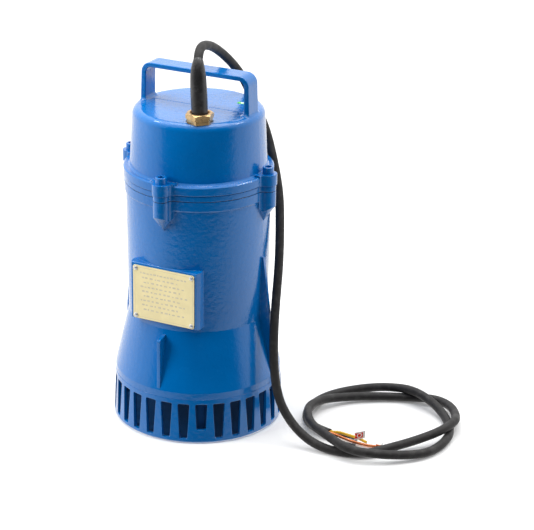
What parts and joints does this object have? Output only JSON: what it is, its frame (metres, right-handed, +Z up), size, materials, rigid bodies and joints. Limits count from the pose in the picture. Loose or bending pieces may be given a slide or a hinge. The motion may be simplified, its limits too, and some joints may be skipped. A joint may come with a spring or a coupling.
{
  "type": "submersible drainage pump",
  "caption": "Submersible drainage pump: strainer base, cast casing with side discharge port, electric motor under a cap with carrying handle, and a cable with bare cores.",
  "frame": {"origin": "on the shaft axis, at the underside of the strainer that the pump stands on", "axes": "+Z up along the shaft, +X along the carrying handle, -Y towards the nameplate, +Y towards the discharge port"},
  "size_m": [0.4094, 0.2417, 0.4646],
  "materials": {
    "blue_enamel": "gloss blue enamel on cast iron, light cast texture",
    "stainless": "machined stainless steel",
    "gasket_rubber": "black gasket sheet",
    "grey_iron": "plain machined grey cast iron",
    "brass": "machined brass, slightly dull",
    "seal_ceramic": "ground ceramic seal face",
    "seal_rubber": "black nitrile rubber",
    "bronze": "cast bronze impeller",
    "bright_steel": "plain bright steel",
    "lamination": "stacked electrical steel",
    "copper_winding": "varnished copper winding",
    "cast_aluminium": "die-cast aluminium",
    "cable_rubber": "matt black rubber sheath",
    "plate_brass": "pale satin nameplate brass",
    "rivet_steel": "bright domed rivets",
    "sticker": "green and white paper sticker",
    "terminal_plastic": "dark moulded terminal block",
    "core_green_yellow": "earth core, yellow with green",
    "core_black": "black core insulation",
    "core_copper": "bare twisted copper strands",
    "core_grey": "dark grey core insulation",
    "tag_red": "red and white paper tag",
    "tinned": "tinned terminal"
  },
  "bodies": {
    "housing": {"strainer": "blue_enamel", "strainer_screws": "stainless", "pump_body": "blue_enamel", "cap_screws": "blue_enamel", "casing_gasket": "gasket_rubber", "cap_gasket": "gasket_rubber", "bearing_bracket": "blue_enamel", "top_cap": "blue_enamel", "suction_cover": "grey_iron", "seal_plate": "grey_iron", "seal_plate_screws": "stainless", "oil_plug": "brass", "seal_seat": "seal_ceramic", "lip_seal": "seal_rubber", "lower_bearing_outer_ring": "bright_steel", "upper_bearing_outer_ring": "bright_steel", "stator_core": "lamination", "stator_winding": "copper_winding", "preload_spring": "bright_steel", "gland_body": "brass", "gland_seal": "seal_rubber", "gland_nut": "brass", "cable_sleeve": "cable_rubber", "cable_tail": "cable_rubber", "nameplate": "plate_brass", "nameplate_rivets": "rivet_steel", "inspection_sticker": "sticker", "terminal_block": "terminal_plastic", "terminal_screws": "bright_steel", "earth_screw": "brass", "power_cable": "cable_rubber", "core_earth": "core_green_yellow", "core_black": "core_black", "core_brown": "core_copper", "core_grey": "core_grey", "core_tag": "tag_red", "core_terminal": "tinned", "inner_cores": "core_black", "motor_leads": "core_black"},
    "rotor": {"seal_head": "seal_rubber", "impeller": "bronze", "impeller_key": "bright_steel", "impeller_washer": "stainless", "impeller_nut": "stainless", "shaft": "stainless", "lower_bearing_inner_ring": "bright_steel", "upper_bearing_inner_ring": "bright_steel", "rotor_core": "lamination", "rotor_end_rings": "cast_aluminium"},
    "lower_ball_set": {"lower_bearing_balls": "bright_steel", "lower_bearing_cage": "bright_steel"},
    "upper_ball_set": {"upper_bearing_balls": "bright_steel", "upper_bearing_cage": "bright_steel"}
  },
  "joints": [
    {"name": "rotor_spin", "type": "hinge", "parent": "housing", "child": "rotor", "pos_m": [0, 0, 0.2], "axis": [0, 0, 1], "continuous": true},
    {"name": "lower_balls_spin", "type": "hinge", "parent": "housing", "child": "lower_ball_set", "pos_m": [0, 0, 0.1535], "axis": [0, 0, 1], "continuous": true},
    {"name": "upper_balls_spin", "type": "hinge", "parent": "housing", "child": "upper_ball_set", "pos_m": [0, 0, 0.29], "axis": [0, 0, 1], "continuous": true}
  ],
  "couplings": [
    {"joint": "lower_balls_spin", "follows": "rotor_spin", "ratio": 0.3694},
    {"joint": "upper_balls_spin", "follows": "rotor_spin", "ratio": 0.3656}
  ]
}
